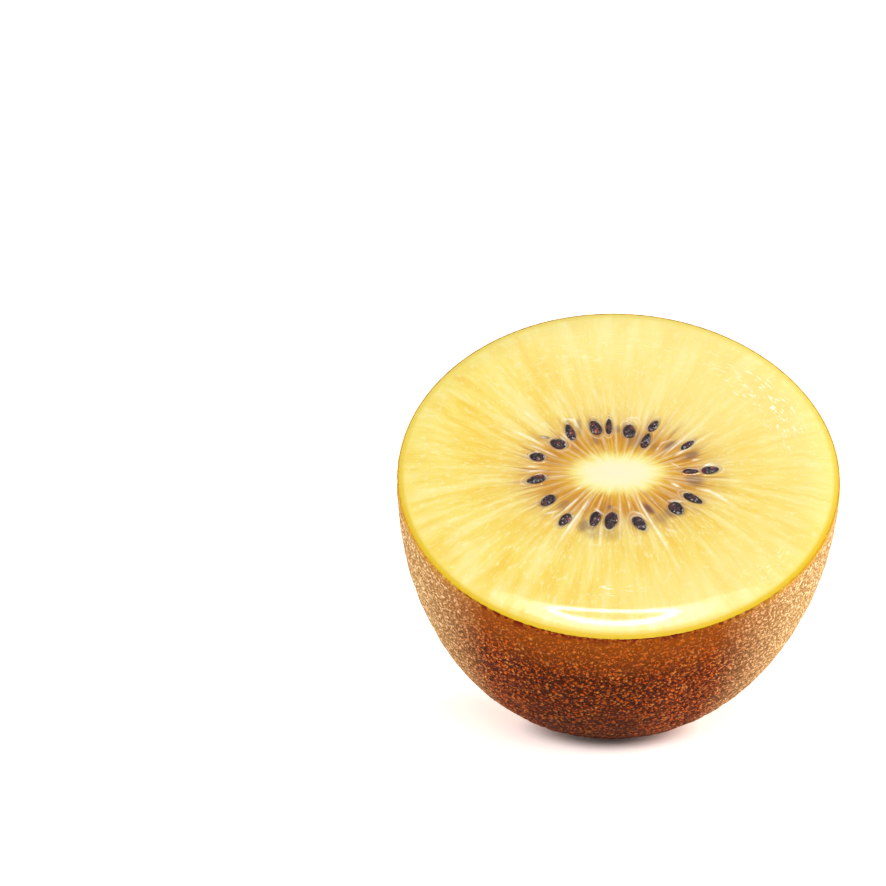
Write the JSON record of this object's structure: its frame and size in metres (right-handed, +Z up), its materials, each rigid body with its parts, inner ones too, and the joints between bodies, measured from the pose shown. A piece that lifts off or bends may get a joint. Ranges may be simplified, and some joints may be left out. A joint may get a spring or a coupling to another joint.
{
  "type": "golden kiwi fruit half",
  "caption": "Half of a golden kiwi fruit, cut across and lying on its brown skin, with yellow flesh, a pale core and a ring of dark seeds.",
  "frame": {"origin": "middle of the small flat spot that the fruit lies on", "axes": "+Z up from the surface that the fruit lies on; the cut face leans forward, towards -Y; +X to the right as seen from -Y"},
  "size_m": [0.0521, 0.0519, 0.0476],
  "materials": {
    "flesh": "wet golden fruit flesh",
    "skin": "dry, finely grained brown fruit skin",
    "seed": "glossy, dark brown kiwi seed"
  },
  "bodies": {
    "root": {"kiwi_half": "flesh"}
  },
  "joints": []
}
